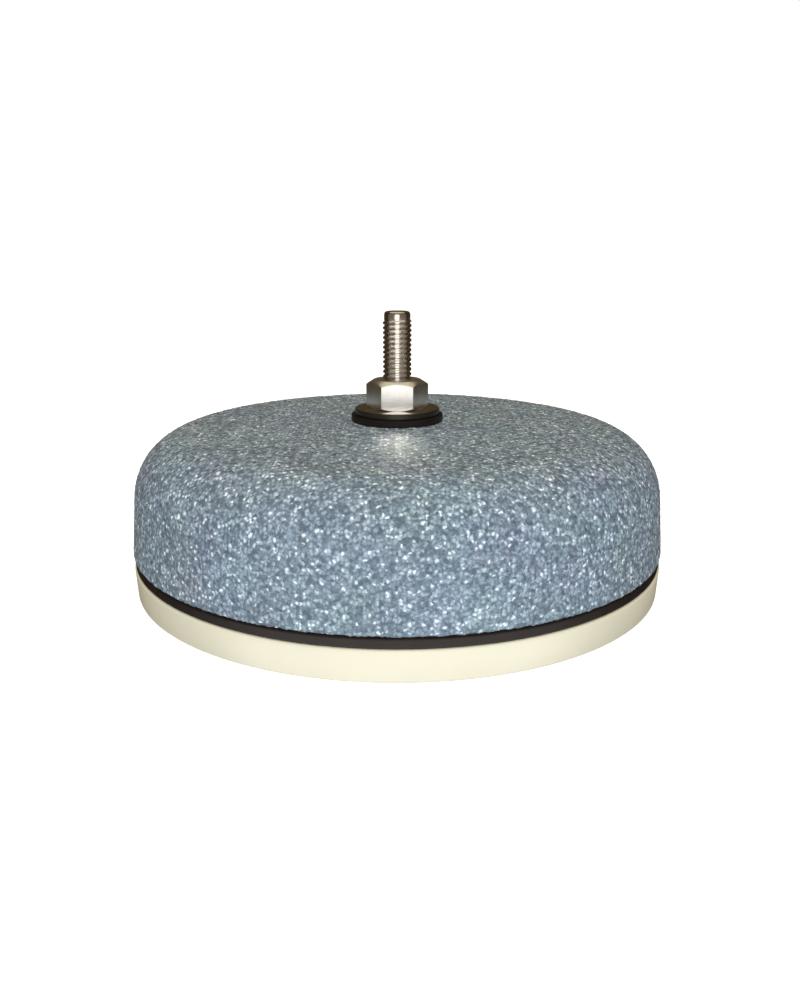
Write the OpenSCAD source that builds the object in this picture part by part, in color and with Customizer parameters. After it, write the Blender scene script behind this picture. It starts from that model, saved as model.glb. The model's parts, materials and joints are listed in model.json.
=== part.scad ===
// Fine bubble diffuser for aeration tanks: a porous ceramic dome, clamped down on
// a rubber ring and a moulded base plate by one centre bolt.
// Air comes up the threaded inlet, round the bolt's hub into the chamber under the
// dome, and out through the pores. The rim of the base lies on Z = 0, and the bolt
// stands on the Z axis.

/* [Dome] */
// Outside diameter at the foot
dome_d = 178; // [160:1:200]
// Height from the foot to the washer's seat
dome_h = 40; // [36:0.5:44]
// Thickness of the wall, the same all over
dome_wall = 16; // [14:0.5:18]
// Radius of the shoulder, outside
shoulder_r = 20.5; // [19:0.5:24]
// Lean of the side wall, in degrees
side_lean = 5; // [3:0.5:6]
// Slope of the crown where it meets the shoulder, in degrees
crown_slope = 3; // [2:0.5:4]

/* [Rim gasket] */
// Thickness of the rubber ring under the dome
gasket_t = 3.5; // [2.5:0.5:5]
// How far the rubber ring lies inside the foot's outer edge
gasket_inset = 0.7; // [0.5:0.1:2]

/* [Base plate] */
// Height of the base from its rim to the gasket's seat
base_h = 9.4; // [9:0.1:12]
// Thickness of the floor
floor_t = 4; // [3.5:0.1:4.5]
// Thickness of the outer wall
skirt_t = 3; // [2.5:0.1:3.5]
// Height of the lip that centres the gasket and the dome
lip_h = 5.5; // [4.5:0.1:7]
// Number of ribs under the outer floor, with half as many inside
outer_ribs = 30; // [24:2:36]
// Thickness of a rib where it meets the floor
rib_t = 2.4; // [2:0.1:3]
// Number of gussets that brace the boss
gussets = 8; // [4:4:12]

/* [Air inlet] */
// Minor diameter of the parallel pipe thread, one inch size
inlet_d = 30.29; // [30.2:0.01:30.4]
// Depth of the threaded socket
inlet_depth = 16.2; // [15:0.1:18]
// Number of air slots round the hub
air_slots = 4; // [3:1:5]

/* [Centre bolt] */
// Diameter of the bolt
bolt_d = 9.5; // [9:0.1:10]
// Length of the bolt under its head
bolt_len = 63.5; // [62:0.5:68]
// Width of the bolt's head and of the nut, across flats
hex_flats = 18; // [17:0.1:18.5]
// Height of the bolt's head
head_t = 8.1; // [7:0.1:8.5]
// Height of the nut
nut_t = 9.5; // [8:0.1:10]

/* [Washers] */
// Diameter of the steel washer
steel_washer_d = 28.4; // [26:0.1:30]
// Thickness of the steel washer
steel_washer_t = 2; // [1.6:0.1:2.5]
// Diameter of the rubber washer
rubber_washer_d = 30.8; // [30:0.1:34]
// Thickness of the rubber washer
rubber_washer_t = 2.2; // [2:0.1:3]

/* [Hidden] */
$fn = 180;
over = 1;
// How far the chords of a rounded outline may lie inside its true arcs
arc_error = 0.02;

// Dome: its wall, crown and ceiling are straight or gently arched lines, joined by
// the rounds named here
foot_r = dome_d / 2;
foot_z = base_h + gasket_t;
seat_z = foot_z + dome_h;
foot_round = 0.35;
crown_break_r = 36;
crown_round = 690;
dome_hole_r = bolt_d / 2 + 0.75;
inner_foot_r = foot_r - dome_wall / cos(side_lean);

// Lip and rim gasket
lip_r = inner_foot_r - 0.9;
lip_t = 2.8;
lip_top_z = base_h + lip_h;
gasket_r = foot_r - gasket_inset;
gasket_bore_r = lip_r + 0.3;
gasket_round = 0.8;

// Base plate
base_top_r = foot_r - 0.3;
base_foot_r = base_top_r - 0.5;
skirt_r = base_foot_r - skirt_t;
rim_round = 0.5;
mould_round = 0.6;
inner_round = 1;
under_floor_z = base_h - floor_t;
rib_lift = 1.2;
rib_tip_t = rib_t - 0.8;
ring_rib_r = skirt_r * 0.55;
gusset_reach = 42;
gusset_rise = 13;
gusset_t = 2.6;

// Air inlet: the boss stops short of the rim, so that its seal clears the ground
inlet_r = inlet_d / 2;
inlet_rise = 0.8;
inlet_top_z = inlet_rise + inlet_depth;
lead_in = 1;
seal_r = [17.4, 20.2];
seal_top_z = inlet_rise + 2.1;
seal_t = 2.6;
boss_foot_r = 22.5;
boss_r = 20.5;
boss_top_r = 19.2;
boss_fillet = 3;
boss_round = 1.5;

// Hub over the inlet: a pocket for the bolt's head, under a web
hub_web_t = 4;
hub_hole_r = bolt_d / 2 + 0.25;
pocket_flats = hex_flats + 0.3;
bolt_seat_z = inlet_top_z + head_t + 0.3;
boss_top_z = bolt_seat_z + hub_web_t;
slot_r = [12.2, 14.6];
slot_sweep = 200 / air_slots;

// Bolt, nut and washers
bolt_end_z = bolt_seat_z + bolt_len;
point_r = bolt_d / 2 - 0.4;
point_len = 3.2;
point_round = 1.1;
hex_chamfer = 32;
hex_seat_r = hex_flats / 2;
hex_top_r = hex_flats * 0.435;
steel_bore_r = bolt_d / 2 + 0.45;
washer_round = 0.3;
steel_washer_z = seat_z + rubber_washer_t;
nut_z = steel_washer_z + steel_washer_t;

function across_corners_r(flats) = flats / 2 / cos(30);
function polar(r, a) = [r * cos(a), r * sin(a)];
function flat_part(corner) = [corner[0], corner[1]];
function unit(v) = v / norm(v);
function turn(u, v) = u[0] * v[1] - u[1] * v[0];

// Where the line through p at angle a crosses the line through q at angle b
function meet(p, a, q, b) =
    p + polar(turn(q - p, polar(1, b)) / turn(polar(1, a), polar(1, b)), a);

// Points that stand for the corner p, coming from a and going on to b, with radius r
function corner_points(a, p, b, r) =
    let (to_a = unit(a - p), to_b = unit(b - p),
         half = acos(to_a * to_b) / 2,
         middle = p + unit(to_a + to_b) * r / sin(half),
         first = p + to_a * r / tan(half) - middle,
         start = atan2(first[1], first[0]),
         sweep = (180 - 2 * half) * sign(turn(to_b, to_a)),
         steps = ceil(abs(sweep) * PI / 180 * sqrt(r / (8 * arc_error))))
    [for (i = [0 : steps]) middle + polar(r, start + sweep * i / steps)];

// Outline through corners [x, y] or [x, y, radius], with the given corners rounded
function rounded(corners) =
    let (n = len(corners))
    [for (i = [0 : n - 1])
        let (p = corners[i])
        each (len(p) == 2 ? [p]
              : corner_points(flat_part(corners[(i + n - 1) % n]), flat_part(p),
                              flat_part(corners[(i + 1) % n]), p[2]))];

// Solid turned about the Z axis from a half section of corners
module turned(corners) {
    rotate_extrude()
        polygon(rounded(corners));
}

// Ring of rectangular half section, from radius r0 to r1 and height z0 to z1, with
// rounds on the edges of its outer face
module ring(r0, r1, z0, z1, edge_round) {
    turned([[r0, z0], [r1, z0, edge_round], [r1, z1, edge_round], [r0, z1]]);
}

// Porous ceramic shell of even thickness, flat on top where the washer sits
module ceramic_dome() {
    ceiling_z = seat_z - dome_wall;
    crown_break = [crown_break_r, seat_z];
    ceiling_break = [crown_break_r - dome_wall * tan(crown_slope / 2), ceiling_z];
    foot = [foot_r, foot_z];
    inner_foot = [inner_foot_r, foot_z];
    shoulder = meet(crown_break, -crown_slope, foot, 90 + side_lean);
    hollow = meet(ceiling_break, -crown_slope, inner_foot, 90 + side_lean);
    color([0.47, 0.55, 0.62])
        turned([[dome_hole_r, seat_z],
                [crown_break[0], crown_break[1], crown_round],
                [shoulder[0], shoulder[1], shoulder_r],
                [foot[0], foot[1], foot_round],
                inner_foot,
                [hollow[0], hollow[1], shoulder_r - dome_wall],
                [ceiling_break[0], ceiling_break[1], crown_round - dome_wall],
                [dome_hole_r, ceiling_z]]);
}

// Flat rubber ring between the dome's foot and the base
module rim_gasket() {
    color([0.12, 0.1, 0.09])
        ring(gasket_bore_r, gasket_r, base_h, foot_z, gasket_round);
}

// The moulding's turned form: skirt, gasket seat, lip, floor, boss and hub
module base_turned() {
    turned([[skirt_r, under_floor_z, inner_round],
            [skirt_r, 0, mould_round],
            [base_foot_r, 0, rim_round],
            [base_top_r, base_h, mould_round],
            [lip_r, base_h],
            [lip_r, lip_top_z, inner_round],
            [lip_r - lip_t, lip_top_z, mould_round],
            [lip_r - lip_t, base_h, inner_round],
            [boss_r, base_h, boss_fillet],
            [boss_top_r, boss_top_z, boss_round],
            [hub_hole_r, boss_top_z],
            [hub_hole_r, inlet_top_z],
            [inlet_r, inlet_top_z],
            [inlet_r, inlet_rise + lead_in],
            [inlet_r + lead_in, inlet_rise],
            [seal_r[0], inlet_rise],
            [seal_r[0], seal_top_z],
            [seal_r[1], seal_top_z],
            [seal_r[1], inlet_rise],
            [boss_foot_r, inlet_rise, mould_round],
            [boss_foot_r, under_floor_z, inner_round]]);
}

// One straight rib from radius r0 to r1, running into the floor, thinner at its tip
module floor_rib(r0, r1) {
    rib_h = under_floor_z - rib_lift;
    top_t = rib_tip_t + (rib_t - rib_tip_t) * (rib_h + over) / rib_h;
    rotate([90, 0, 90])
        translate([0, rib_lift, r0])
            linear_extrude(r1 - r0)
                polygon([[-rib_tip_t / 2, 0], [rib_tip_t / 2, 0],
                         [top_t / 2, rib_h + over], [-top_t / 2, rib_h + over]]);
}

module floor_ribs() {
    for (i = [0 : outer_ribs - 1])
        rotate(i * 360 / outer_ribs)
            floor_rib(ring_rib_r, skirt_r + over);
    for (i = [0 : outer_ribs / 2 - 1])
        rotate(i * 720 / outer_ribs)
            floor_rib(boss_foot_r - over, ring_rib_r);
    turned([[ring_rib_r - rib_t / 2, rib_lift], [ring_rib_r + rib_t / 2, rib_lift],
            [ring_rib_r + rib_t / 2, under_floor_z + over],
            [ring_rib_r - rib_t / 2, under_floor_z + over]]);
}

module boss_gussets() {
    for (i = [0.5 : gussets - 0.5])
        rotate([90, 0, i * 360 / gussets])
            translate([0, 0, -gusset_t / 2])
                linear_extrude(gusset_t)
                    polygon([[boss_top_r - over, base_h - over], [gusset_reach, base_h - over],
                             [gusset_reach, base_h + 1.2], [boss_r + 2, base_h + gusset_rise],
                             [boss_top_r - over, base_h + gusset_rise]]);
}

// Kidney-shaped air passages between the hub and the boss
module air_slot_cuts() {
    slot_w = slot_r[1] - slot_r[0];
    mid_r = (slot_r[0] + slot_r[1]) / 2;
    half = slot_sweep / 2;
    for (i = [0 : air_slots - 1])
        rotate(45 + i * 360 / air_slots)
            translate([0, 0, inlet_top_z - over])
                linear_extrude(boss_top_z - inlet_top_z + 2 * over) {
                    intersection() {
                        difference() {
                            circle(slot_r[1]);
                            circle(slot_r[0]);
                        }
                        polygon([[0, 0], polar(2 * inlet_r, -half), [2 * inlet_r, 0],
                                 polar(2 * inlet_r, half)]);
                    }
                    for (a = [-half, half])
                        translate(polar(mid_r, a))
                            circle(slot_w / 2);
                }
}

// Moulded plastic base: a ribbed plate with a threaded inlet in its boss, and a hub
// above it that keeps the bolt's head from turning
module base_plate() {
    color([0.93, 0.9, 0.8])
        difference() {
            union() {
                base_turned();
                floor_ribs();
                boss_gussets();
            }
            translate([0, 0, inlet_top_z - over])
                cylinder(h = bolt_seat_z - inlet_top_z + over,
                         r = across_corners_r(pocket_flats), $fn = 6);
            air_slot_cuts();
        }
}

// Rubber ring that seals the boss on the supply pipe's shoulder
module inlet_seal() {
    low_z = seal_top_z - seal_t;
    color([0.1, 0.1, 0.1])
        turned([[seal_r[0], low_z, mould_round], [seal_r[1], low_z, mould_round],
                [seal_r[1], seal_top_z], [seal_r[0], seal_top_z]]);
}

// Hexagon from the ground plane up, its corners turned off at both ends and most at
// the free end on top
module hex_blank(h) {
    corner_r = across_corners_r(hex_flats) + over;
    slope = tan(hex_chamfer);
    intersection() {
        cylinder(h = h, r = across_corners_r(hex_flats), $fn = 6);
        turned([[0, 0], [hex_seat_r, 0], [corner_r, (corner_r - hex_seat_r) * slope],
                [corner_r, h - (corner_r - hex_top_r) * slope], [hex_top_r, h], [0, h]]);
    }
}

// Hexagon bolt that stands head down in the base, with a plain round point
module centre_bolt() {
    point_z = bolt_end_z - point_len;
    color([0.76, 0.75, 0.72]) {
        translate([0, 0, bolt_seat_z])
            mirror([0, 0, 1])
                hex_blank(head_t);
        turned([[0, bolt_seat_z - over], [bolt_d / 2, bolt_seat_z - over],
                [bolt_d / 2, point_z], [point_r, point_z + 0.4],
                [point_r, bolt_end_z, point_round], [0, bolt_end_z]]);
    }
}

module top_nut() {
    color([0.8, 0.79, 0.76])
        translate([0, 0, nut_z])
            difference() {
                hex_blank(nut_t);
                translate([0, 0, -over])
                    cylinder(h = nut_t + 2 * over, r = bolt_d / 2);
            }
}

module steel_washer() {
    color([0.7, 0.69, 0.66])
        ring(steel_bore_r, steel_washer_d / 2, steel_washer_z, nut_z, washer_round);
}

module rubber_washer() {
    color([0.1, 0.1, 0.1])
        ring(bolt_d / 2, rubber_washer_d / 2, seat_z, steel_washer_z, washer_round);
}

ceramic_dome();
rim_gasket();
base_plate();
inlet_seal();
centre_bolt();
rubber_washer();
steel_washer();
top_nut();
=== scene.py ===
import json
import math

import bpy
from bpy.props import FloatProperty, FloatVectorProperty, IntProperty, PointerProperty
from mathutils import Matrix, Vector


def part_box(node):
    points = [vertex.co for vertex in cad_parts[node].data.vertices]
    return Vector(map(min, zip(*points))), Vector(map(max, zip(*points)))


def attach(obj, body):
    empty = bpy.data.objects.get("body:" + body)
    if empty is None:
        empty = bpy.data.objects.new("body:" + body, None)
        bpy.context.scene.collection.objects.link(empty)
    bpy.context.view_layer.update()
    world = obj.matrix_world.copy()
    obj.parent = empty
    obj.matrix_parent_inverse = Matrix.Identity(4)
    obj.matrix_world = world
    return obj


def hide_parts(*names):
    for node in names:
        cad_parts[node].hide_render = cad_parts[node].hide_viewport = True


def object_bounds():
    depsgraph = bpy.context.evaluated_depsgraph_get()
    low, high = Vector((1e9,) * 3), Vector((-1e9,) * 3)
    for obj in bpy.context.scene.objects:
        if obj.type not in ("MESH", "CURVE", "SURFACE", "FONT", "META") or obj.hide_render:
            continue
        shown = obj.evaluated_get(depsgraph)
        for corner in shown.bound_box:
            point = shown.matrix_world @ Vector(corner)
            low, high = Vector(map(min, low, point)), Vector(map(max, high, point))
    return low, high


bl_info = {
    "name": "Dome Diffuser",
    "version": (1, 0, 0),
    "blender": (4, 5, 0),
    "location": "3D View > Sidebar > Diffuser",
    "description": "Models and finishes a fine bubble dome diffuser round its packed frame",
    "category": "Object",
}

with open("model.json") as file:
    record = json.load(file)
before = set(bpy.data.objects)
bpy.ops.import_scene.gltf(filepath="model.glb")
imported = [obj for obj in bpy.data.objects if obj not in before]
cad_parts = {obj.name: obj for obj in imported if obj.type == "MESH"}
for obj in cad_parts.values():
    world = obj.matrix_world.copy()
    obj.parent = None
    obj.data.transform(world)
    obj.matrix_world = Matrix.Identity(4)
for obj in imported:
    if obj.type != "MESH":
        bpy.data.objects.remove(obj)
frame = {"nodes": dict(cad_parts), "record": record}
CAD_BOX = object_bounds()
MM = 0.001

# Corners and radii of the CAD nodes, which the new pieces, the washer's rim and the lamp
# at the nut are set by
DOME_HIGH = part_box("ceramic_dome")[1]
BOLT_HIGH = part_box("centre_bolt")[1]
NUT_LOW, NUT_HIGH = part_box("top_nut")
SEAL_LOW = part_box("inlet_seal")[0]
WASHER_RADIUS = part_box("steel_washer")[1].x
INLET = next(m for m in frame["record"]["mounts"] if m["name"] == "inlet_thread")
INLET_RADIUS = INLET["dims"]["r_mm"] * MM
# Radius of the bolt's shank, which its box doesn't give because the head is wider
SHANK_RADIUS = 4.75 * MM
# Doubles closer than this are merged
MERGE_GAP = 0.001 * MM


# ---------------------------------------------------------------- settings


def length(name, description, default, **limits):
    """A length in metres that the sidebar shows with its unit."""
    return FloatProperty(name=name, description=description, default=default,
                         unit="LENGTH", subtype="DISTANCE", precision=5, **limits)


def colour(name, description, default):
    """An opaque colour, given as its red, green and blue."""
    return FloatVectorProperty(name=name, description=description, size=4, min=0, max=1,
                               subtype="COLOR", default=(*default, 1))


def share(name, description, default):
    """A number from 0 to 1."""
    return FloatProperty(name=name, description=description, default=default,
                         min=0, max=1, subtype="FACTOR")


class DomeSettings(bpy.types.PropertyGroup):
    """Sizes and colours of the bonded grains"""

    mesh_step: length("Mesh step", "Distance between the points of the grainy skin", 0.86 * MM,
                      min=0.8 * MM, max=3 * MM)
    grain_size: length("Grain size", "Mean size of a grain", 1.12 * MM, min=0.4 * MM, max=3 * MM)
    grain_depth: length("Grain depth", "Height of the grains over the pits between them",
                        0.32 * MM, min=0, max=1 * MM)
    scatter: length("Scatter", "Width of the range in which points are moved off the grid",
                    0.35 * MM, min=0, max=1 * MM)
    # The dark colour is also painted as shade into the pits between the grains
    dark: colour("Dark grains", "Colour of the darkest grains and of the pits",
                 (0.125, 0.163, 0.2))
    body: colour("Body grains", "Colour of the grains between dark and pale",
                 (0.29, 0.366, 0.422))
    pale: colour("Pale grains", "Colour of the paler grains", (0.495, 0.595, 0.655))
    # The glint colour is a painted glint on the crests of the brightest grains
    glint: colour("Glinting grains", "Colour of the few brightest grains", (0.92, 0.96, 0.97))


class BoltSettings(bpy.types.PropertyGroup):
    """Sizes of the bolt's thread"""

    pitch: length("Pitch", "Distance from one turn of the thread to the next", 1.5875 * MM,
                  min=1 * MM, max=2 * MM)
    depth: length("Depth", "Depth of the thread, from crest to root", 0.5 * MM,
                  min=0.3 * MM, max=1.5 * MM)
    reach: length("Threaded length", "Length of the thread, up to the point", 38 * MM,
                  min=20 * MM, max=45 * MM)
    point: length("Point", "Length of the plain point", 2.4 * MM, min=1 * MM, max=5 * MM)


class InletSettings(bpy.types.PropertyGroup):
    """Sizes of the pipe thread in the base"""

    pitch: length("Pitch", "Distance from one turn of the thread to the next", 2.309 * MM,
                  min=1.5 * MM, max=3 * MM)
    depth: length("Depth", "Depth of the thread, from crest to root", 1.479 * MM,
                  min=0.5 * MM, max=2 * MM)
    turns: IntProperty(name="Turns", description="Number of full turns", default=6, min=3, max=6)


class FinishSettings(bpy.types.PropertyGroup):
    """Colours and gloss of the plastic, the rubber and the steel"""

    plastic: colour("Plastic", "Colour of the moulded base", (0.80, 0.735, 0.55))
    plastic_gloss: share("Plastic roughness", "Roughness of the moulded base", 0.34)
    rubber: colour("Rubber", "Colour of the gasket, the seal and the washer",
                   (0.012, 0.008, 0.006))
    rubber_gloss: share("Rubber roughness", "Roughness of the rubber", 0.5)
    steel: colour("Steel", "Colour of the bolt and the washer", (0.78, 0.74, 0.68))
    # The nut's steel is a brighter copy of the steel colour, painted light on the nut
    nut_steel_painted_bright: colour("Nut steel", "Colour of the nut", (0.92, 0.9, 0.86))
    steel_gloss: share("Steel roughness", "Roughness of the bolt and the washer", 0.18)
    nut_gloss: share("Nut roughness", "Roughness of the nut", 0.31)
    edge_round: length("Edge round", "Width of the rounded edges of the nut", 0.45 * MM,
                       min=0, max=0.6 * MM)


class StageSettings(bpy.types.PropertyGroup):
    """Camera, floor and lights"""

    distance: length("Camera distance", "From the bolt's axis to the lens", 296.25 * MM,
                     min=0.1, max=3)
    height: length("Camera height", "Height of the lens over the floor", 108 * MM, min=0, max=3)
    tilt: FloatProperty(name="Camera tilt", description="How far the camera looks down",
                        default=math.radians(15.54), subtype="ANGLE", unit="ROTATION")
    focal: FloatProperty(name="Focal length", description="Focal length in millimetres",
                         default=32.11, min=10, max=200)
    shift: FloatProperty(name="Shift", description="Sideways shift of the picture",
                         default=0.0028, min=-0.1, max=0.1)
    floor: colour("Floor", "Colour of the floor", (0.9, 0.9, 0.9))
    floor_glow: share("Floor glow", "How bright the floor is in itself, so that it stays white",
                      0.8)
    floor_radius: length("Floor radius", "Radius of the floor", 4, min=1, max=20)
    key_power: FloatProperty(name="Key light", description="Power of the front light in watts",
                             default=8.1, min=0, max=100)
    top_power: FloatProperty(name="Top light", description="Power of the light overhead in watts",
                             default=3.5, min=0, max=100)
    nut_power: FloatProperty(name="Light off the nut", min=0, max=1, default=0.002,
                             description="Power of the light that the nut's front face "
                                         "throws on the dome, in watts")


# ---------------------------------------------------------------- modelling tools


def make_active(piece):
    """Selects one object and nothing else."""
    bpy.ops.object.select_all(action="DESELECT")
    piece.select_set(True)
    bpy.context.view_layer.objects.active = piece


def start_edit(piece, what="VERT"):
    """Opens a piece in edit mode with nothing selected."""
    make_active(piece)
    bpy.ops.object.mode_set(mode="EDIT")
    bpy.ops.mesh.select_mode(type=what)
    bpy.ops.mesh.select_all(action="DESELECT")


def end_edit():
    """Goes back to object mode."""
    bpy.ops.object.mode_set(mode="OBJECT")


def apply_modifier(piece, kind, **values):
    """Adds a modifier with the given values and applies it."""
    modifier = piece.modifiers.new(kind.title(), kind)
    for name, value in values.items():
        setattr(modifier, name, value)
    make_active(piece)
    bpy.ops.object.modifier_apply(modifier=modifier.name)


def copy_of_node(node, name):
    """A merged copy of a CAD node's mesh, as a new piece to work on."""
    piece = bpy.data.objects.new(name, frame["nodes"][node].data.copy())
    piece.data.name = name
    bpy.context.scene.collection.objects.link(piece)
    start_edit(piece)
    bpy.ops.mesh.select_all(action="SELECT")
    bpy.ops.mesh.remove_doubles(threshold=MERGE_GAP)
    bpy.ops.mesh.customdata_custom_splitnormals_clear()
    end_edit()
    return piece


def trace_outline(name, points):
    """A closed chain of edges through (radius, height) points, traced from one vertex."""
    places = [Vector((x, 0, z)) for x, z in points]
    bpy.ops.object.select_all(action="DESELECT")
    bpy.ops.mesh.primitive_plane_add(size=MM, location=(0, 0, 0))
    piece = bpy.context.object
    piece.name = name
    bpy.ops.object.mode_set(mode="EDIT")
    bpy.ops.mesh.select_mode(type="VERT")
    bpy.ops.mesh.select_all(action="SELECT")
    bpy.ops.mesh.merge(type="CENTER")
    bpy.ops.transform.translate(value=places[0])
    for here, there in zip(places, places[1:]):
        bpy.ops.mesh.extrude_vertices_move(TRANSFORM_OT_translate={"value": there - here})
    bpy.ops.mesh.select_all(action="SELECT")
    bpy.ops.mesh.edge_face_add()
    bpy.ops.mesh.delete(type="ONLY_FACE")
    end_edit()
    return piece


def helix_cutter(name, groove, pitch, turns, steps):
    """A closed helical bar of the groove's section, rising one pitch a turn."""
    cutter = trace_outline(name, groove)
    apply_modifier(cutter, "SCREW", axis="Z", angle=2 * math.pi, screw_offset=pitch,
                   iterations=turns, steps=steps, render_steps=steps,
                   use_merge_vertices=False)
    start_edit(cutter)
    bpy.ops.mesh.select_all(action="SELECT")
    bpy.ops.mesh.remove_doubles(threshold=MERGE_GAP)
    bpy.ops.mesh.fill_holes(sides=len(groove))
    bpy.ops.mesh.select_all(action="SELECT")
    bpy.ops.mesh.normals_make_consistent(inside=False)
    end_edit()
    return cutter


def cut(piece, cutter):
    """Takes the cutter's volume out of the piece, and removes the cutter.

    The solver leaves slivers under a micrometre along the cut, and a few open edges there.
    """
    apply_modifier(piece, "BOOLEAN", object=cutter, operation="DIFFERENCE", solver="EXACT")
    bpy.data.objects.remove(cutter)


def smooth_by_angle(piece, degrees):
    """Shades a piece smooth, except at edges sharper than the angle."""
    make_active(piece)
    bpy.ops.object.shade_smooth_by_angle(angle=math.radians(degrees))


def hand_over(piece, node):
    """Lets a new piece stand for its CAD node."""
    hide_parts(node)
    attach(piece, "root")


def set_material(piece, material):
    """Gives a piece one material in place of all that it had."""
    piece.data.materials.clear()
    piece.data.materials.append(material)


# ---------------------------------------------------------------- shader tools


def add_node(tree, kind, inputs=None, **values):
    """Adds a node, sets its own values, and fills or links its inputs."""
    node = tree.nodes.new(kind)
    for name, value in values.items():
        setattr(node, name, value)
    for socket, value in (inputs or {}).items():
        if isinstance(value, bpy.types.NodeSocket):
            tree.links.new(value, node.inputs[socket])
        else:
            node.inputs[socket].default_value = value
    return node


def arithmetic(tree, operation, *values):
    """The result of a Math node."""
    return add_node(tree, "ShaderNodeMath", dict(enumerate(values)),
                    operation=operation).outputs[0]


def stretch(tree, value, low, high, to_low=0.0, to_high=1.0):
    """A value mapped from one range to another, and held inside it."""
    return add_node(tree, "ShaderNodeMapRange",
                    {"Value": value, "From Min": low, "From Max": high,
                     "To Min": to_low, "To Max": to_high}).outputs["Result"]


def mix_colours(tree, factor, first, second, blend="MIX"):
    """The result of a Mix node for colours."""
    node = add_node(tree, "ShaderNodeMix", data_type="RGBA", blend_type=blend)
    sockets = {s.identifier: s for s in node.inputs}
    for name, value in (("Factor_Float", factor), ("A_Color", first), ("B_Color", second)):
        if isinstance(value, bpy.types.NodeSocket):
            tree.links.new(value, sockets[name])
        else:
            sockets[name].default_value = value
    return next(s for s in node.outputs if s.identifier == "Result_Color")


def new_group(name, inputs, outputs):
    """A shader node group with named sockets, and its input and output nodes."""
    group = bpy.data.node_groups.new(name, "ShaderNodeTree")
    for socket, kind, default in inputs:
        made = group.interface.new_socket(socket, in_out="INPUT", socket_type=kind)
        if default is not None:
            made.default_value = default
    for socket, kind in outputs:
        group.interface.new_socket(socket, in_out="OUTPUT", socket_type=kind)
    return group, add_node(group, "NodeGroupInput"), add_node(group, "NodeGroupOutput")


def place_group(tree, name, build, inputs):
    """Puts a node group in a material, and builds the group on its first use."""
    node = add_node(tree, "ShaderNodeGroup",
                    node_tree=bpy.data.node_groups.get(name) or build(name))
    for socket, value in inputs.items():
        if isinstance(value, bpy.types.NodeSocket):
            tree.links.new(value, node.inputs[socket])
        else:
            node.inputs[socket].default_value = value
    return node.outputs


def new_material(name, **constants):
    """A material with one Principled shader, its constants set on the shader's sockets."""
    material = bpy.data.materials.new(name)
    material.use_nodes = True
    tree = material.node_tree
    tree.nodes.clear()
    shader = add_node(tree, "ShaderNodeBsdfPrincipled", constants)
    add_node(tree, "ShaderNodeOutputMaterial", {"Surface": shader.outputs["BSDF"]})
    place = add_node(tree, "ShaderNodeTexCoord").outputs["Object"]
    return material, tree, shader, place


def add_bump(tree, shader, height, distance):
    """Feeds a height in units of the given distance to the shader's normal."""
    bump = add_node(tree, "ShaderNodeBump",
                    {"Height": height, "Distance": distance, "Strength": 1.0})
    tree.links.new(bump.outputs["Normal"], shader.inputs["Normal"])


FLOAT = "NodeSocketFloat"
COLOUR = "NodeSocketColor"
VECTOR = "NodeSocketVector"


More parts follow.
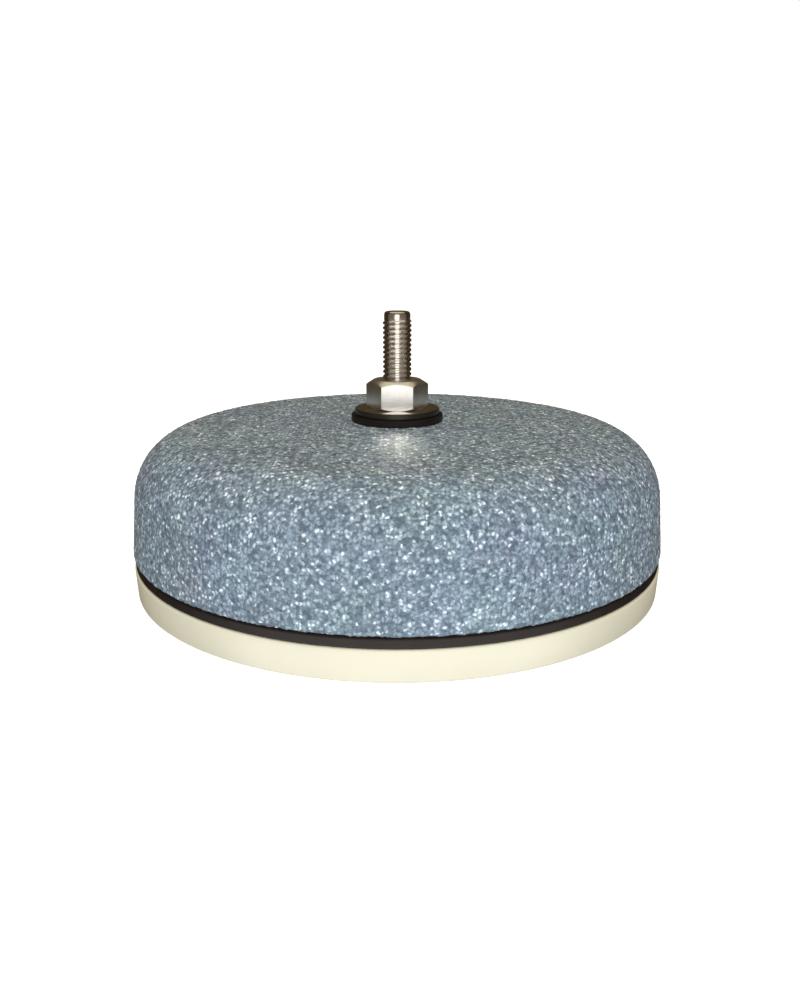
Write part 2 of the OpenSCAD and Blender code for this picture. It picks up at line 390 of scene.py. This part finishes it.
def build_grains(name):
    """Grains of a few colours, each a cell of its own, with painted shade in the pits between
    them and a painted glint on a few.
    """
    group, given, made = new_group(
        name,
        [("Vector", VECTOR, None), ("Grain Size", FLOAT, 0.001), ("Dark", COLOUR, None),
         ("Body", COLOUR, None), ("Pale", COLOUR, None), ("Glint", COLOUR, None)],
        [("Color", COLOUR), ("Roughness", FLOAT), ("Height", FLOAT)])
    size = given.outputs["Grain Size"]
    per_grain = arithmetic(group, "DIVIDE", 1.0, size)

    # The cells are drawn at places that wander by about a grain, so that they look broken
    wander = add_node(group, "ShaderNodeTexNoise",
                      {"Vector": given.outputs["Vector"],
                       "Scale": arithmetic(group, "DIVIDE", 0.8, size), "Detail": 2.0})
    offset = add_node(group, "ShaderNodeVectorMath",
                      {0: wander.outputs["Color"], 1: (0.5, 0.5, 0.5)}, operation="SUBTRACT")
    moved = add_node(group, "ShaderNodeVectorMath", {0: offset.outputs[0]}, operation="SCALE")
    group.links.new(arithmetic(group, "MULTIPLY", size, 1.5), moved.inputs["Scale"])
    place = add_node(group, "ShaderNodeVectorMath",
                     {0: given.outputs["Vector"], 1: moved.outputs[0]}, operation="ADD")
    cell = add_node(group, "ShaderNodeTexVoronoi",
                    {"Vector": place.outputs[0], "Scale": per_grain, "Randomness": 0.9,
                     "Smoothness": 0.3}, feature="SMOOTH_F1")

    # Three numbers that are drawn anew for each grain: its shade, its height and its gloss
    pick = add_node(group, "ShaderNodeSeparateColor", {"Color": cell.outputs["Color"]})
    lot, tint, gloss = (pick.outputs[i] for i in range(3))
    shade = mix_colours(group, stretch(group, lot, 0.1, 0.42), given.outputs["Dark"],
                        given.outputs["Body"])
    shade = mix_colours(group, stretch(group, lot, 0.5, 0.9), shade, given.outputs["Pale"])
    # A painted glint: near-white colour on a small spot at the crest of the brightest grains
    painted_glint = arithmetic(group, "MULTIPLY", stretch(group, lot, 0.8, 0.9),
                       stretch(group, cell.outputs["Distance"], 0.5, 0.2))
    shade = mix_colours(group, painted_glint, shade, given.outputs["Glint"])

    # Painted shade in the pits where grains meet, then slow clouds of shade and hue, and fine
    # flecks
    painted_pit_shade = stretch(group, cell.outputs["Distance"], 0.3, 0.7, 0.0, 0.8)
    shade = mix_colours(group, painted_pit_shade, shade, given.outputs["Dark"])
    cloud = add_node(group, "ShaderNodeTexNoise",
                     {"Vector": given.outputs["Vector"],
                      "Scale": arithmetic(group, "DIVIDE", 0.06, size), "Detail": 3.0})
    shade = mix_colours(group, stretch(group, cloud.outputs["Fac"], 0.35, 0.65, 0.0, 0.2),
                        shade, (0.75, 0.78, 0.86, 1), blend="MULTIPLY")
    fleck = add_node(group, "ShaderNodeTexNoise",
                     {"Vector": given.outputs["Vector"], "Detail": 1.0,
                      "Scale": arithmetic(group, "DIVIDE", 1.25, size)})
    fleck = stretch(group, fleck.outputs["Fac"], 0.3, 0.7, 0.72, 1.3)
    hue = add_node(group, "ShaderNodeVectorMath",
                   {0: cloud.outputs["Color"], 1: (0.18, 0.18, 0.18), 2: (0.91, 0.91, 0.91)},
                   operation="MULTIPLY_ADD")
    shade = mix_colours(group, 1.0, shade, hue.outputs[0], blend="MULTIPLY")
    flecked = add_node(group, "ShaderNodeVectorMath", {0: shade}, operation="SCALE")
    group.links.new(fleck, flecked.inputs["Scale"])

    # Height of the grains, with fine grit on them
    crest = arithmetic(group, "SUBTRACT", 1.0, cell.outputs["Distance"])
    height = arithmetic(group, "ADD", arithmetic(group, "MULTIPLY", crest, 0.9),
                        arithmetic(group, "MULTIPLY", tint, 0.5))
    grit = add_node(group, "ShaderNodeTexNoise",
                    {"Vector": given.outputs["Vector"],
                     "Scale": arithmetic(group, "DIVIDE", 3.5, size), "Detail": 2.0})
    height = arithmetic(group, "MULTIPLY_ADD", grit.outputs["Fac"], 0.35, height)

    group.links.new(flecked.outputs[0], made.inputs["Color"])
    group.links.new(stretch(group, gloss, 0.55, 0.95, 0.75, 0.22), made.inputs["Roughness"])
    group.links.new(height, made.inputs["Height"])
    return group


def build_mottle(name):
    """Slow changes of shade, with fine changes of gloss and of the surface's height."""
    group, given, made = new_group(
        name,
        [("Vector", VECTOR, None), ("Patch Size", FLOAT, 0.01), ("Base Color", COLOUR, None),
         ("Shade Change", FLOAT, 0.1), ("Roughness", FLOAT, 0.5), ("Gloss Change", FLOAT, 0.1)],
        [("Color", COLOUR), ("Roughness", FLOAT), ("Height", FLOAT)])
    patch = add_node(group, "ShaderNodeTexNoise",
                     {"Vector": given.outputs["Vector"], "Detail": 4.0,
                      "Scale": arithmetic(group, "DIVIDE", 1.0, given.outputs["Patch Size"])})
    speck = add_node(group, "ShaderNodeTexNoise",
                     {"Vector": given.outputs["Vector"], "Detail": 3.0,
                      "Scale": arithmetic(group, "DIVIDE", 24.0, given.outputs["Patch Size"])})
    swing = stretch(group, patch.outputs["Fac"], 0.3, 0.7, -1.0, 1.0)
    level = arithmetic(group, "MULTIPLY_ADD", swing, given.outputs["Shade Change"], 1.0)
    tint = add_node(group, "ShaderNodeVectorMath", {0: given.outputs["Base Color"]},
                    operation="SCALE")
    group.links.new(level, tint.inputs["Scale"])
    gloss = stretch(group, speck.outputs["Fac"], 0.3, 0.7, -1.0, 1.0)
    gloss = arithmetic(group, "MULTIPLY_ADD", gloss, given.outputs["Gloss Change"],
                       given.outputs["Roughness"])
    group.links.new(tint.outputs[0], made.inputs["Color"])
    group.links.new(gloss, made.inputs["Roughness"])
    group.links.new(speck.outputs["Fac"], made.inputs["Height"])
    return group


# ---------------------------------------------------------------- materials


def ceramic_material(settings):
    """Bonded grains, some dark, most blue grey, some pale and a few with a painted glint, with
    painted shade in the pits between them.
    """
    material, tree, shader, place = new_material("Bonded ceramic", **{"IOR": 1.6})
    grains = place_group(tree, "Bonded Grains", build_grains, {
        "Vector": place, "Grain Size": settings.grain_size, "Dark": settings.dark,
        "Body": settings.body, "Pale": settings.pale, "Glint": settings.glint})
    tree.links.new(grains["Color"], shader.inputs["Base Color"])
    tree.links.new(grains["Roughness"], shader.inputs["Roughness"])
    add_bump(tree, shader, grains["Height"], 0.3 * settings.grain_size)
    return material


def mottled_material(name, base, roughness, patch, change, relief, rim=None, **constants):
    """A material whose colour changes slowly over the surface, and its gloss finely.

    Past the radius of the rim it is rougher, and painted darker as shade on the rim.
    """
    material, tree, shader, place = new_material(name, **constants)
    mottle = place_group(tree, "Surface Mottle", build_mottle, {
        "Vector": place, "Patch Size": patch, "Base Color": base, "Shade Change": change,
        "Roughness": roughness, "Gloss Change": 0.06})
    shade, gloss = mottle["Color"], mottle["Roughness"]
    if rim:
        level = add_node(tree, "ShaderNodeVectorMath", {0: place, 1: (1, 1, 0)},
                         operation="MULTIPLY")
        radius = add_node(tree, "ShaderNodeVectorMath", {0: level.outputs[0]},
                          operation="LENGTH")
        # Painted shade: past the rim's radius the colour is darkened, and the gloss made rougher
        painted_rim_shade = stretch(tree, radius.outputs["Value"], rim, rim + 0.2 * MM)
        shade = mix_colours(tree, painted_rim_shade, shade, (0.1, 0.095, 0.08, 1))
        gloss = arithmetic(tree, "MULTIPLY_ADD", painted_rim_shade, 0.25, gloss)
    tree.links.new(shade, shader.inputs["Base Color"])
    tree.links.new(gloss, shader.inputs["Roughness"])
    add_bump(tree, shader, mottle["Height"], relief)
    return material


def finish(name):
    """A finish of the plastic, the rubber or the steel, made once."""
    made = bpy.data.materials.get(name)
    if made:
        return made
    settings = bpy.context.scene.diffuser_finish
    if name == "Ivory plastic":
        return mottled_material(name, settings.plastic, settings.plastic_gloss, 30 * MM,
                                0.04, 0.01 * MM, **{"IOR": 1.5})
    if name == "Black rubber":
        return mottled_material(name, settings.rubber, settings.rubber_gloss, 6 * MM,
                                0.25, 0.03 * MM, **{"IOR": 1.3})
    # The nut gets the brighter copy of the steel colour, as painted light
    if name == "Turned steel painted bright":
        return mottled_material(name, settings.nut_steel_painted_bright, settings.nut_gloss, 5 * MM,
                                0.06, 0.004 * MM, **{"Metallic": 1.0})
    # The washer's steel gets painted shade on its rim
    rim = WASHER_RADIUS - 0.3 * MM if name == "Steel with painted rim shade" else None
    return mottled_material(name, settings.steel, settings.steel_gloss, 5 * MM,
                            0.06, 0.004 * MM, rim, **{"Metallic": 1.0})


# ---------------------------------------------------------------- pieces


def grain_texture(name, kind, size, **values):
    """A texture that moves the points of the dome's skin."""
    texture = bpy.data.textures.new(name, kind)
    texture.noise_scale = size
    for key, value in values.items():
        setattr(texture, key, value)
    return texture


def model_dome(settings):
    """The CAD dome, meshed again in small steps and roughened on its outer skin."""
    dome = copy_of_node("ceramic_dome", "grained_dome")
    apply_modifier(dome, "REMESH", mode="VOXEL", voxel_size=settings.mesh_step)
    side_depth = 12 * MM
    crown_depth = 9 * MM
    inner_share = 0.06
    middle_radius = DOME_HIGH.x - side_depth
    middle_height = DOME_HIGH.z - crown_depth

    def is_outside(place):
        """Whether a place lies past the middle radius or over the middle height."""
        return math.hypot(place.x, place.y) > middle_radius or place.z > middle_height

    # The hidden inner skin is thinned out to a small share of its faces
    start_edit(dome, "FACE")
    end_edit()
    for face in dome.data.polygons:
        face.select = not is_outside(face.center)
    bpy.ops.object.mode_set(mode="EDIT")
    bpy.ops.mesh.decimate(ratio=inner_share)
    end_edit()

    # The outer skin is scattered off its even grid, and sunk between its grains
    skin = dome.vertex_groups.new(name="skin")
    skin.add([v.index for v in dome.data.vertices if is_outside(v.co)], 1.0, "REPLACE")
    crests = grain_texture("Grain crests", "VORONOI", settings.grain_size)
    scatter = grain_texture("Grain scatter", "CLOUDS", 0.6 * settings.grain_size,
                            cloud_type="COLOR", noise_depth=1)
    apply_modifier(dome, "DISPLACE", texture=scatter, texture_coords="LOCAL",
                   direction="RGB_TO_XYZ", strength=settings.scatter, mid_level=0.5,
                   vertex_group="skin")
    apply_modifier(dome, "DISPLACE", texture=crests, texture_coords="LOCAL",
                   direction="NORMAL", strength=-settings.grain_depth, mid_level=0.0,
                   vertex_group="skin")
    make_active(dome)
    bpy.ops.object.shade_smooth()
    return dome


def model_bolt(settings):
    """The CAD bolt with its thread cut, up to the plain point."""
    bolt = copy_of_node("centre_bolt", "threaded_bolt")
    crest = SHANK_RADIUS
    root = crest - settings.depth
    clear = crest + 0.3 * MM
    # The groove's section: a flat root between two flanks
    flat = 0.15 * settings.pitch
    flank = 0.27 * settings.pitch
    turns = round(settings.reach / settings.pitch)
    start = BOLT_HIGH.z - settings.point - turns * settings.pitch - flank
    groove = [(root, start + flank), (crest, start), (clear, start),
              (clear, start + flat + 2 * flank), (crest, start + flat + 2 * flank),
              (root, start + flank + flat)]
    cut(bolt, helix_cutter("bolt_thread_cutter", groove, settings.pitch, turns, 48))
    smooth_by_angle(bolt, 25)
    return bolt


def model_base(settings):
    """The CAD base plate with the pipe thread cut in its inlet."""
    base = copy_of_node("base_plate", "threaded_base")
    crest = INLET_RADIUS
    root = crest + settings.depth
    clear = crest - 0.5 * MM
    flat = settings.pitch / 6
    flank = (settings.pitch - 2 * flat) / 2
    start = SEAL_LOW.z + 1.6 * MM
    groove = [(root, start + flank), (root, start + flank + flat),
              (crest, start + flat + 2 * flank), (clear, start + flat + 2 * flank),
              (clear, start), (crest, start)]
    cut(base, helix_cutter("inlet_thread_cutter", groove, settings.pitch, settings.turns, 96))
    smooth_by_angle(base, 25)
    return base


def model_nut(settings):
    """The CAD nut with its edges broken."""
    nut = copy_of_node("top_nut", "nut_with_broken_edges")
    apply_modifier(nut, "BEVEL", width=settings.edge_round, segments=4, limit_method="ANGLE",
                   angle_limit=math.radians(25))
    smooth_by_angle(nut, 30)
    return nut


# ---------------------------------------------------------------- operators


class DIFFUSER_OT_stage(bpy.types.Operator):
    """Set the camera, the floor and the lights"""

    bl_idname = "diffuser.stage"
    bl_label = "Stage"

    def execute(self, context):
        settings = context.scene.diffuser_stage
        self.add_camera(context, settings)
        self.add_floor(settings)
        middle = Vector((0, 0, 40 * MM))
        key = self.add_light("front light", (0.0, -1.0, 0.42), middle, 0.42,
                             settings.key_power, (0.94, 0.98, 1.05))
        key.visible_glossy = False
        self.add_light("top light", (0.0, 0.2, 1.2), middle, 1.4, settings.top_power,
                       (1, 0.86, 0.64))
        # A small lamp stands for the light that the nut's front face throws on the crown
        face = Vector((0, NUT_LOW.y - 0.5 * MM, (NUT_LOW.z + NUT_HIGH.z) / 2))
        off_nut = self.add_light("light off the nut", face, face + Vector((0, -0.94, -0.33)),
                                 9 * MM, settings.nut_power, (1, 0.86, 0.66))
        off_nut.data.spread = math.radians(35)
        off_nut.visible_glossy = False
        self.set_world(context)
        context.scene.view_settings.view_transform = "Standard"
        return {"FINISHED"}

    def add_camera(self, context, settings):
        """The camera in front of the diffuser, looking down at it."""
        camera = bpy.data.objects.new("camera", bpy.data.cameras.new("camera"))
        context.scene.collection.objects.link(camera)
        camera.location = (0, -settings.distance, settings.height)
        camera.rotation_euler = (math.pi / 2 - settings.tilt, 0, 0)
        camera.data.lens = settings.focal
        camera.data.sensor_width = 36
        camera.data.shift_x = settings.shift
        camera.data.clip_start = 10 * MM
        camera.data.clip_end = 50
        context.scene.camera = camera

    def add_floor(self, settings):
        """A white disk at the foot of the part, which casts no light on it."""
        bpy.ops.object.select_all(action="DESELECT")
        bpy.ops.mesh.primitive_circle_add(vertices=96, radius=settings.floor_radius,
                                          fill_type="NGON", location=(0, 0, CAD_BOX[0].z))
        floor = bpy.context.object
        floor.name = "floor"
        pale = new_material("Pale floor", **{
            "Base Color": settings.floor, "Roughness": 0.9,
            "Emission Color": settings.floor, "Emission Strength": settings.floor_glow})[0]
        set_material(floor, pale)
        floor.visible_glossy = False
        floor.visible_diffuse = False

    def add_light(self, name, place, target, size, power, tint):
        """A disk of light at a place, facing its target."""
        light = bpy.data.objects.new(name, bpy.data.lights.new(name, "AREA"))
        bpy.context.scene.collection.objects.link(light)
        light.data.shape = "DISK"
        light.data.size = size
        light.data.energy = power
        light.data.color = tint
        light.location = place
        light.rotation_euler = (target - light.location).to_track_quat("-Z", "Y").to_euler()
        light.visible_camera = False
        return light

    def set_world(self, context):
        """White behind the object, soft light round it, and a dim warm room in reflections."""
        world = bpy.data.worlds.new("studio")
        context.scene.world = world
        world.use_nodes = True
        tree = world.node_tree
        tree.nodes.clear()
        path = add_node(tree, "ShaderNodeLightPath")
        way = add_node(tree, "ShaderNodeTexCoord").outputs["Generated"]
        axes = add_node(tree, "ShaderNodeSeparateXYZ", {0: way})
        ahead, height = axes.outputs["Y"], axes.outputs["Z"]

        # The room in reflections: beside the part, behind it and before it, then a bright
        # panel in front, and the lit floor below it
        beside = (0.02, 0.014, 0.008, 1)
        behind = (0.055, 0.038, 0.018, 1)
        before = (0.165, 0.13, 0.1, 1)
        bright_panel = (1.5, 1.47, 1.42, 1)
        lit_floor = (3.8, 3.8, 3.8, 1)
        room = mix_colours(tree, stretch(tree, ahead, 0.3, 0.5), beside, behind)
        room = mix_colours(tree, stretch(tree, ahead, 0.12, -0.4), room, before)
        panel = add_node(tree, "ShaderNodeVectorMath", {0: way, 1: (0, -0.996, 0.087)},
                         operation="DOT_PRODUCT").outputs["Value"]
        room = mix_colours(tree, stretch(tree, panel, 0.925, 0.948), room, bright_panel)
        low = arithmetic(tree, "MULTIPLY", stretch(tree, height, -0.17, -0.36),
                         stretch(tree, ahead, 0.0, -0.5))
        room = mix_colours(tree, low, room, lit_floor)

        # The soft light: cool from the front, warm from behind and from above
        cool_front = (0.84, 0.96, 1.12, 1)
        warm_back = (1.12, 0.98, 0.78, 1)
        warm_top = (1.06, 0.98, 0.78, 1)
        sky = mix_colours(tree, stretch(tree, ahead, -0.8, 0.1), cool_front, warm_back)
        sky = mix_colours(tree, stretch(tree, height, 0.2, 0.9), sky, warm_top)
        soft = add_node(tree, "ShaderNodeBackground", {"Color": sky, "Strength": 0.47})
        seen = add_node(tree, "ShaderNodeBackground", {"Color": (1, 1, 1, 1), "Strength": 1.0})
        glossy = add_node(tree, "ShaderNodeBackground", {"Color": room, "Strength": 1.0})
        reflected = add_node(tree, "ShaderNodeMixShader",
                             {0: path.outputs["Is Glossy Ray"], 1: soft.outputs[0],
                              2: glossy.outputs[0]})
        shown = add_node(tree, "ShaderNodeMixShader",
                         {0: path.outputs["Is Camera Ray"], 1: reflected.outputs[0],
                          2: seen.outputs[0]})
        add_node(tree, "ShaderNodeOutputWorld", {"Surface": shown.outputs[0]})


class DIFFUSER_OT_dome(bpy.types.Operator):
    """Model the ceramic dome with its grainy skin"""

    bl_idname = "diffuser.dome"
    bl_label = "Ceramic dome"

    def execute(self, context):
        settings = context.scene.diffuser_dome
        dome = model_dome(settings)
        set_material(dome, ceramic_material(settings))
        hand_over(dome, "ceramic_dome")
        return {"FINISHED"}


class DIFFUSER_OT_base(bpy.types.Operator):
    """Cut the inlet's thread in the base plate and finish it"""

    bl_idname = "diffuser.base"
    bl_label = "Base plate"

    def execute(self, context):
        base = model_base(context.scene.diffuser_inlet)
        set_material(base, finish("Ivory plastic"))
        hand_over(base, "base_plate")
        return {"FINISHED"}


class DIFFUSER_OT_rubber(bpy.types.Operator):
    """Finish the rim gasket, the inlet's seal and the rubber washer"""

    bl_idname = "diffuser.rubber"
    bl_label = "Rubber rings"

    def execute(self, context):
        for node in ("rim_gasket", "inlet_seal", "rubber_washer"):
            set_material(frame["nodes"][node], finish("Black rubber"))
        return {"FINISHED"}


class DIFFUSER_OT_bolt(bpy.types.Operator):
    """Cut the bolt's thread and finish it"""

    bl_idname = "diffuser.bolt"
    bl_label = "Centre bolt"

    def execute(self, context):
        bolt = model_bolt(context.scene.diffuser_bolt)
        set_material(bolt, finish("Stainless steel"))
        hand_over(bolt, "centre_bolt")
        return {"FINISHED"}


class DIFFUSER_OT_nut(bpy.types.Operator):
    """Break the nut's edges, and finish the nut and the steel washer"""

    bl_idname = "diffuser.nut"
    bl_label = "Nut and washer"

    def execute(self, context):
        nut = model_nut(context.scene.diffuser_finish)
        set_material(nut, finish("Turned steel painted bright"))
        hand_over(nut, "top_nut")
        set_material(frame["nodes"]["steel_washer"], finish("Steel with painted rim shade"))
        return {"FINISHED"}


class DIFFUSER_PT_tools(bpy.types.Panel):
    """Buttons and settings of the diffuser"""

    bl_idname = "DIFFUSER_PT_tools"
    bl_label = "Dome Diffuser"
    bl_space_type = "VIEW_3D"
    bl_region_type = "UI"
    bl_category = "Diffuser"

    def draw(self, context):
        for operator in OPERATORS:
            self.layout.operator(operator.bl_idname)
        for name, group in SETTINGS.items():
            box = self.layout.box()
            for key in group.__annotations__:
                box.prop(getattr(context.scene, name), key)


SETTINGS = {
    "diffuser_stage": StageSettings,
    "diffuser_dome": DomeSettings,
    "diffuser_bolt": BoltSettings,
    "diffuser_inlet": InletSettings,
    "diffuser_finish": FinishSettings,
}
OPERATORS = (DIFFUSER_OT_stage, DIFFUSER_OT_dome, DIFFUSER_OT_base, DIFFUSER_OT_rubber,
             DIFFUSER_OT_bolt, DIFFUSER_OT_nut)
CLASSES = (*SETTINGS.values(), *OPERATORS, DIFFUSER_PT_tools)


def register():
    """Registers the classes, and hangs the settings on the scene."""
    for item in CLASSES:
        bpy.utils.register_class(item)
    for name, group in SETTINGS.items():
        setattr(bpy.types.Scene, name, PointerProperty(type=group))


def unregister():
    """Takes away all that register added."""
    for name in SETTINGS:
        delattr(bpy.types.Scene, name)
    for item in reversed(CLASSES):
        bpy.utils.unregister_class(item)


def main():
    """Builds the whole diffuser on its stage."""
    register()
    bpy.ops.diffuser.stage()
    bpy.ops.diffuser.dome()
    bpy.ops.diffuser.base()
    bpy.ops.diffuser.rubber()
    bpy.ops.diffuser.bolt()
    bpy.ops.diffuser.nut()


if __name__ == "__main__":
    main()
